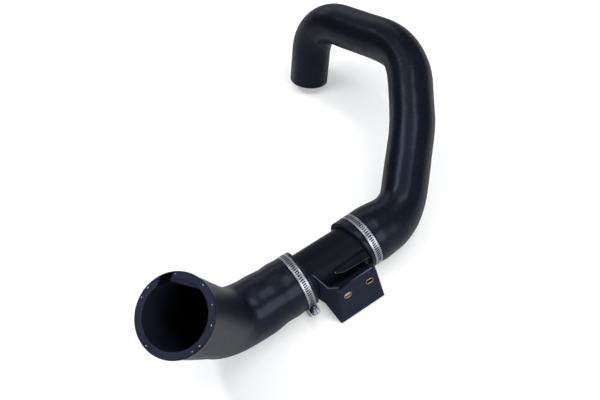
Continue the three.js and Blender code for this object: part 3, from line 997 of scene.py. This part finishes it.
def band(name, place):
    flat = np.array(flat_band.points)
    angle = np.degrees(flat[:, 0] / band_inner_radius)
    climb = smoothly(angle, [(360 - band_ramp_angle, 0), (360, 1)]) * band_layer
    radius = band_inner_radius + climb + flat[:, 2]
    turn = np.radians(angle)
    points = np.stack([radius * np.cos(turn), radius * np.sin(turn), flat[:, 1]], axis=-1)
    piece = make_piece(
        f"{name}_band_slotted",
        moved(points, place),
        flat_band.faces,
        [band_steel, slot_shade_steel],
        flat_band.kinds,
        uvs=flat[:, :2],
    )
    square_up(piece, sharp_angle=50)
    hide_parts(f"{name}_clamp_band")


def bevel(mesh, edges, width, segments, clamped, material):
    bmesh.ops.bevel(
        mesh,
        geom=edges,
        offset=width * MM,
        offset_type="OFFSET",
        segments=segments,
        profile=0.5,
        affect="EDGES",
        clamp_overlap=clamped,
        material=material,
    )


def edges_over(mesh, least_angle, least_length):
    """The edges longer than a length in mm where faces meet at more than an angle in degrees."""
    return [
        edge
        for edge in mesh.edges
        if len(edge.link_faces) == 2
        and edge.calc_face_angle() > math.radians(least_angle)
        and edge.calc_length() > least_length * MM
    ]


def bend_fold(mesh, turn, width):
    """Rounds the long outer edge where a sheet is folded through this many degrees."""
    folds = [
        edge
        for edge in edges_over(mesh, turn - 2, fold_shortest)
        if edge.is_convex and edge.calc_face_angle() < math.radians(turn + 2)
    ]
    bevel(mesh, folds, width, segments=6, clamped=False, material=-1)


sharp_over = 30.0
# How far a rounded edge must face the given direction to carry the painted highlight
highlight_facing = 0.25


def softened_copy(
    node, name, materials, width, highlight_toward=None, shortest=0.0, clamped=True, fold=None
):
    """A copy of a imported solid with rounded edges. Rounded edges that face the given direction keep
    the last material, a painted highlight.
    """
    piece = bpy.data.objects.new(name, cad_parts[node].data.copy())
    bpy.context.scene.collection.objects.link(piece)
    piece.data.materials.clear()
    for material in materials:
        piece.data.materials.append(material)
    mesh = bmesh.new()
    mesh.from_mesh(piece.data)
    for face in mesh.faces:
        face.material_index = 0
    bmesh.ops.remove_doubles(mesh, verts=mesh.verts, dist=0.01 * MM)
    bmesh.ops.dissolve_limit(
        mesh, angle_limit=math.radians(1.5), verts=mesh.verts, edges=mesh.edges
    )
    bmesh.ops.recalc_face_normals(mesh, faces=mesh.faces)
    if fold is not None:
        bend_fold(mesh, *fold)
    sharp = edges_over(mesh, sharp_over, shortest)
    bevel(mesh, sharp, width, segments=3, clamped=clamped, material=len(materials) - 1)
    for face in mesh.faces:
        face.smooth = True
        # Rounded edges that face away from the light go back to the plain paint; the rest keep the
        # painted highlight.
        if highlight_toward is not None and face.normal.dot(Vector(highlight_toward)) < highlight_facing:
            face.material_index = 0
    mesh.to_mesh(piece.data)
    mesh.free()
    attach(piece, "root")
    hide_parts(node)
    modifier = piece.modifiers.new("normals", "WEIGHTED_NORMAL")
    modifier.keep_sharp = True
    return piece


screw_sides = 48
worm_steps = 60
thread_half_height = 0.35
thread_run_out = 0.8
# The chamfer on the head's end, as (distance before the end, how far the head is drawn in)
head_chamfer = ((0.45, 0.0), (0.15, 0.12), (0.0, 0.55))


def screw_rings():
    """The rings of the worm, its collar and its hexagon head, as (x, radius) from the worm's end."""
    turn = 2 * np.pi * np.arange(screw_sides) / screw_sides
    worm_end = housing_length / 2 + worm_overhang
    rings = []
    for x in np.linspace(-worm_end, worm_end, worm_steps + 1):
        wave = np.cos(2 * np.pi * x / slot_pitch - turn)
        wave *= min(1.0, (worm_end - abs(x)) / thread_run_out)
        rings.append((x, worm_radius - thread_half_height * (1 - wave)))
    rings += [
        (worm_end, collar_radius - 0.2),
        (worm_end + 0.2, collar_radius),
        (worm_end + collar_thickness - 0.25, collar_radius),
        (worm_end + collar_thickness, collar_radius - 0.25),
    ]
    head_start = worm_end + collar_thickness
    flat = head_across_flats / 2
    sixth = math.pi / 3
    within = (turn + sixth / 2) % sixth - sixth / 2
    hexagon = np.minimum(flat / np.cos(within), flat / math.cos(sixth / 2) - 0.12)
    rings.append((head_start, hexagon))
    for before_end, drawn_in in head_chamfer:
        rings.append((head_start + head_length - before_end, hexagon - drawn_in))
    return turn, rings


def screw(name, place):
    """The worm screw, with a slot for a driver in its head."""
    turn, rings = screw_rings()
    points = []
    for x, radius in rings:
        across, up = radius * np.cos(turn), radius * np.sin(turn)
        points += [(x, y, z) for y, z in zip(across, up)]
    faces = ring_faces(len(rings), screw_sides, closed=False)
    faces.append(tuple(range(screw_sides)))
    head_end, end_radius = rings[-1]
    last = (len(rings) - 1) * screw_sides
    rim = range(last, last + screw_sides)
    half_slot = driver_slot_width / 2
    reach = math.sqrt(min(end_radius) ** 2 - half_slot**2)
    slot_corners = [(reach, half_slot), (-reach, half_slot)]
    slot_corners += [(-reach, -half_slot), (reach, -half_slot)]
    above = [each for each in rim if points[each][2] > half_slot]
    below = [each for each in rim if points[each][2] < -half_slot]
    level = sorted(set(rim) - set(above) - set(below), key=lambda each: points[each][2])
    right = [each for each in level if points[each][1] > 0]
    left = [each for each in reversed(level) if points[each][1] < 0]
    first = len(points)
    for depth in (0.0, driver_slot_depth):
        points += [(head_end - depth, y, z) for y, z in slot_corners]
    above_right, above_left, below_left, below_right = range(first, first + 4)
    faces.append((above_right, *above, above_left))
    faces.append((below_left, *below, below_right))
    faces.append((below[-1], *right, above[0], above_right, below_right))
    faces.append((above[-1], *left, below[0], below_left, above_left))
    faces += ring_faces(2, 4, closed=False, start=first)
    faces.append(tuple(range(first + 4, first + 8)))
    # The screw lies across the clamp's X, above the band.
    lie = Matrix.Translation((worm_height, 0, 0)) @ Matrix.Rotation(math.pi / 2, 4, "Z")
    piece = make_piece(f"{name}_screw_threaded", moved(points, place @ lie), faces, [part_steel])
    square_up(piece, sharp_angle=40)
    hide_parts(f"{name}_clamp_screw")


def clamp(name, x, housing_clock, band_turn, screw_turn, slope):
    turned = upright(x, slope) @ Matrix.Rotation(math.radians(housing_clock), 4, "Z")
    winding = Matrix.Rotation(math.radians(band_turn), 4, "X")
    start = Matrix.Rotation(-math.radians(band_tail_angle) / 2, 4, "Z")
    band(name, turned @ winding @ start)
    screw(name, turned @ Matrix.Rotation(math.radians(screw_turn), 4, "X"))
    housing = softened_copy(
        f"{name}_clamp_housing", f"{name}_housing_stamped", [part_steel], width=0.28
    )


clamp("front", -front_clamp_setback, 132, band_turn=0, screw_turn=180, slope=0.0)
rear_clamp_x = pipe_visible_length + rear_clamp_setback
clamp("rear", rear_clamp_x, 257, band_turn=180, screw_turn=180, slope=clamp_slope)

# Bracket and gusset

# The bracket's rounded edges that face up carry a painted highlight.
bracket = softened_copy(
    "bracket",
    "bracket_folded",
    [plate_paint_lit, edge_highlight_paint],
    width=0.6,
    highlight_toward=(0.4, 0.1, 0.9),
    shortest=4.0,
    clamped=False,
    fold=(wing_fold, fold_rounding),
)
# The gusset's rounded edges that face down and forward carry a painted highlight.
gusset = softened_copy(
    "gusset",
    "gusset_plate",
    [pipe_paint, edge_highlight_paint],
    width=0.7,
    highlight_toward=(-0.2, -0.7, -0.7),
    shortest=2.5,
)

weld_step = 0.5
weld_sides = 14
weld_pitch = 2.2
weld_ripple = 0.1
weld_lump = 0.12
weld_lump_length = 3.0
weld_end_radius = 0.15


def weld_bead(name, clock, start, end, radius):
    """A rippled bead between two (x, y, z) points in a frame turned by the clock angle."""
    turned = Matrix.Rotation(math.radians(clock), 3, "X")
    start, end = Vector(start), Vector(end)
    length = (end - start).length
    ahead = (end - start) / length
    side = ahead.cross(Vector((0, 0, 1))).normalized()
    up = side.cross(ahead)
    steps = math.ceil(length / weld_step)
    points = []
    for step in range(steps + 1):
        travelled = length * step / steps
        from_end = min(travelled, length - travelled) + weld_end_radius
        ripple = 1 + weld_ripple * math.sin(2 * math.pi * travelled / weld_pitch)
        lump = weld_lump * noise.noise(Vector((travelled / weld_lump_length, clock, radius)))
        size = radius * ripple * math.sqrt(min(1.0, from_end / radius)) + lump
        for part in range(weld_sides):
            turn = 2 * math.pi * part / weld_sides
            out = side * math.cos(turn) + up * math.sin(turn)
            points.append(turned @ (start + ahead * travelled + out * size))
    faces = ring_faces(steps + 1, weld_sides, closed=False)
    faces += end_faces(steps + 1, weld_sides)
    square_up(make_piece(name, points, faces, [pipe_paint]))


ledge_weld_ends = [
    (bracket_centre - plate_top_width / 2 + 2, -24.2, 10.3),
    (bracket_centre + plate_top_width / 2 - 4, -24.2, 10.3),
]
gusset_weld_ends = [(29.5, 0.6, 26.6), (63.0, 2.7, 26.5)]
weld_bead("ledge_weld", bracket_clock, *ledge_weld_ends, radius=1.3)
weld_bead("gusset_weld", gusset_clock, *gusset_weld_ends, radius=0.9)

liner_steps = 48
liner_sides = 14
liner_squareness = 0.6


def slot_liners():
    """Plated rings pressed into the plate's two slots."""
    turned = Matrix.Rotation(math.radians(bracket_clock), 3, "X")
    slope = math.radians(plate_slope)
    plate_down = Vector((0, -math.cos(slope), -math.sin(slope)))
    plate_out = Vector((0, -math.sin(slope), math.cos(slope)))
    half_straight = (mount_slot_length - mount_slot_width) / 2
    middle_radius = mount_slot_width / 2 - liner_thickness / 2 - 0.05
    half_height = sheet_thickness / 2 + 0.2
    for side, name in ((-1, "slot_liner_left"), (1, "slot_liner_right")):
        x = bracket_centre + mount_slot_shift + side * mount_slot_spacing / 2
        middle = Vector((x, -fold_drop, fold_standoff)) + plate_down * mount_slot_drop
        middle -= plate_out * sheet_thickness / 2
        points = []
        for step in range(liner_steps):
            angle = 2 * math.pi * (step + 0.5) / liner_steps
            outward = Vector((math.cos(angle), 0, 0)) + plate_down * math.sin(angle)
            shift = Vector((math.copysign(half_straight, math.cos(angle)), 0, 0))
            for part in range(liner_sides):
                turn = 2 * math.pi * part / liner_sides
                rise = math.sin(turn)
                reach = middle_radius + liner_thickness / 2 * math.cos(turn)
                height = half_height * math.copysign(abs(rise) ** liner_squareness, rise)
                points.append(turned @ (middle + shift + outward * reach + plate_out * height))
        faces = ring_faces(liner_steps, liner_sides, closed=True)
        piece = make_piece(name, points, faces, [yellow_zinc])
        square_up(piece)


slot_liners()

# Floor, lights and camera

floor_half = 12.0
floor_shade = 0.7
floor_glow = 0.36


def floor():
    """A pale floor that shows white to the camera and in reflections and keeps the shadow."""
    mesh = bpy.data.meshes.new("floor")
    corners = [(x * floor_half, y * floor_half, 0) for x, y in ((-1, -1), (1, -1), (1, 1), (-1, 1))]
    mesh.from_pydata(corners, [], [(0, 1, 2, 3)])
    surface = Surface("floor_white")
    nodes, links = surface.nodes, surface.links
    surface.set("Base Color", (floor_shade, floor_shade, floor_shade, 1))
    surface.set("Roughness", 0.9)
    surface.set("Specular IOR Level", 0.0)
    path = nodes.new("ShaderNodeLightPath")
    shown = path.outputs["Is Camera Ray"]
    for ray in ("Is Glossy Ray", "Is Transmission Ray"):
        either = nodes.new("ShaderNodeMath")
        either.operation = "MAXIMUM"
        links.new(shown, either.inputs[0])
        links.new(path.outputs[ray], either.inputs[1])
        shown = either.outputs["Value"]
    glow = nodes.new("ShaderNodeEmission")
    glow.inputs["Strength"].default_value = floor_glow
    none = nodes.new("ShaderNodeEmission")
    none.inputs["Strength"].default_value = 0.0
    blend = nodes.new("ShaderNodeMixShader")
    links.new(shown, blend.inputs["Fac"])
    links.new(none.outputs["Emission"], blend.inputs[1])
    links.new(glow.outputs["Emission"], blend.inputs[2])
    added = nodes.new("ShaderNodeAddShader")
    links.new(surface.shader.outputs["BSDF"], added.inputs[0])
    links.new(blend.outputs["Shader"], added.inputs[1])
    links.new(added.outputs["Shader"], nodes["Material Output"].inputs["Surface"])
    mesh.materials.append(surface.material)
    stage = bpy.data.objects.new("floor", mesh)
    bpy.context.scene.collection.objects.link(stage)


floor()

horizon_strength = 0.42
zenith_strength = 0.12


def world_light():
    """A pale backdrop round the horizon under a dimmer ceiling."""
    world = bpy.data.worlds.new("studio")
    bpy.context.scene.world = world
    world.use_nodes = True
    nodes, links = world.node_tree.nodes, world.node_tree.links
    background = nodes["Background"]
    coordinates = nodes.new("ShaderNodeTexCoord")
    split = nodes.new("ShaderNodeSeparateXYZ")
    links.new(coordinates.outputs["Generated"], split.inputs["Vector"])
    height = nodes.new("ShaderNodeMapRange")
    height.interpolation_type = "SMOOTHSTEP"
    height.inputs["From Min"].default_value = 0.03
    height.inputs["From Max"].default_value = 0.22
    height.inputs["To Min"].default_value = horizon_strength
    height.inputs["To Max"].default_value = zenith_strength
    links.new(split.outputs["Z"], height.inputs["Value"])
    links.new(height.outputs["Result"], background.inputs["Strength"])
    background.inputs["Color"].default_value = (0.78, 0.87, 1.0, 1)


world_light()


def soft_light(name, place, aim, size, level):
    """A rectangular soft box of an even level. One overhead has its longer side along Y."""
    light = bpy.data.lights.new(name, "AREA")
    light.shape = "RECTANGLE"
    light.size, light.size_y = size
    light.energy = 4 * size[0] * size[1] * level
    lamp = bpy.data.objects.new(name, light)
    lamp.location = place
    back = (Vector(place) - Vector(aim)).normalized()
    up = Vector((0, 1, 0)) if abs(back.z) > 0.7 else Vector((0, 0, 1))
    side = up.cross(back).normalized()
    turned = Matrix((side, back.cross(side), back)).transposed().to_4x4()
    lamp.matrix_world = Matrix.Translation(place) @ turned
    lamp.visible_camera = False
    bpy.context.scene.collection.objects.link(lamp)


soft_light("strip_left", (-0.58, 0.62, 1.65), (-0.58, 0.62, 0), (0.12, 0.95), level=28.0)
soft_light("strip_right", (0.56, -0.42, 1.65), (0.56, -0.42, 0), (0.2, 0.95), level=11.0)
soft_light("ceiling", (0.0, 0.0, 1.8), (0.0, 0.0, 0), (1.0, 2.2), level=1.2)
soft_light("front_box", (0.27, -1.35, 0.66), (-0.08, -0.12, 0.06), (0.95, 0.85), level=5.5)
soft_light("back_panel", (0.5, 1.5, 0.95), (0.1, 0.1, 0.05), (1.8, 0.9), level=1.1)

# The camera in the assembly's frame, as fitted to the photograph
camera_place = (-155.1, -426.5, 613.1)
camera_right = (0.8283, -0.535, -0.1666)
camera_down = (-0.4979, -0.5663, -0.6568)
camera_ahead = (0.2571, 0.6269, -0.7354)


def camera():
    made = bpy.data.cameras.new("camera")
    made.lens = 42
    made.sensor_width = 36
    made.clip_end = 50
    seen_from = bpy.data.objects.new("camera", made)
    right = rest_turn @ Vector(camera_right)
    down = rest_turn @ Vector(camera_down)
    ahead = rest_turn @ Vector(camera_ahead)
    turned = Matrix((right, -down, -ahead)).transposed().to_4x4()
    place = to_world([camera_place])[0]
    seen_from.matrix_world = Matrix.Translation(place) @ turned
    bpy.context.scene.collection.objects.link(seen_from)
    bpy.context.scene.camera = seen_from


camera()
bpy.context.scene.view_settings.view_transform = "Standard"
